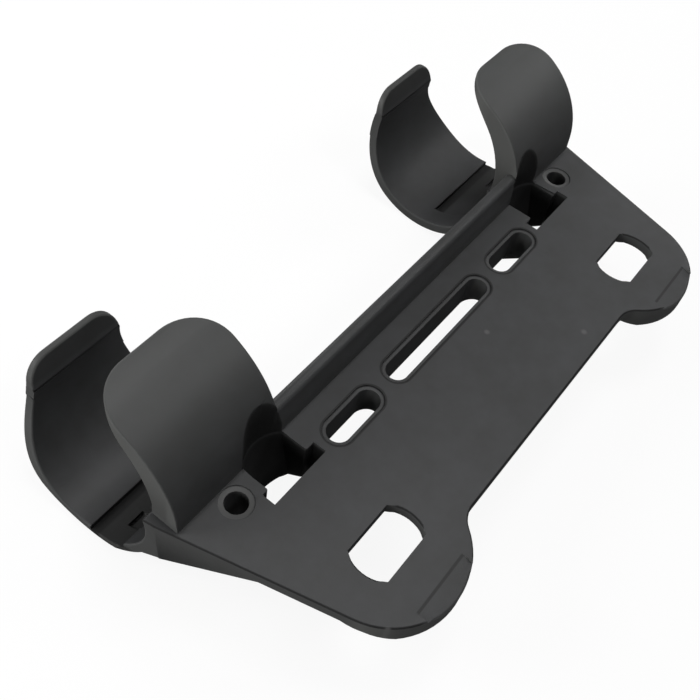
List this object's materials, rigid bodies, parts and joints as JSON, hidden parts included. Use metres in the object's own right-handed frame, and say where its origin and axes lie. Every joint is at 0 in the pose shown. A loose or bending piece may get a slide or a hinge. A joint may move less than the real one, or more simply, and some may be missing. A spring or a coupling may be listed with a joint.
{
  "type": "pump holder",
  "caption": "One-piece moulded plastic plate with slots for bicycle frame threads and an open round clip at each end for a hand pump.",
  "frame": {"origin": "middle of the two short slots, on the plate's top face", "axes": "+X along the pump, +Y from the plate toward the clips, +Z out of the plate's top face"},
  "size_m": [0.1586, 0.095, 0.0503],
  "materials": {
    "moulded_plastic": "matte"
  },
  "bodies": {
    "root": {"bracket": "moulded_plastic"}
  },
  "joints": []
}
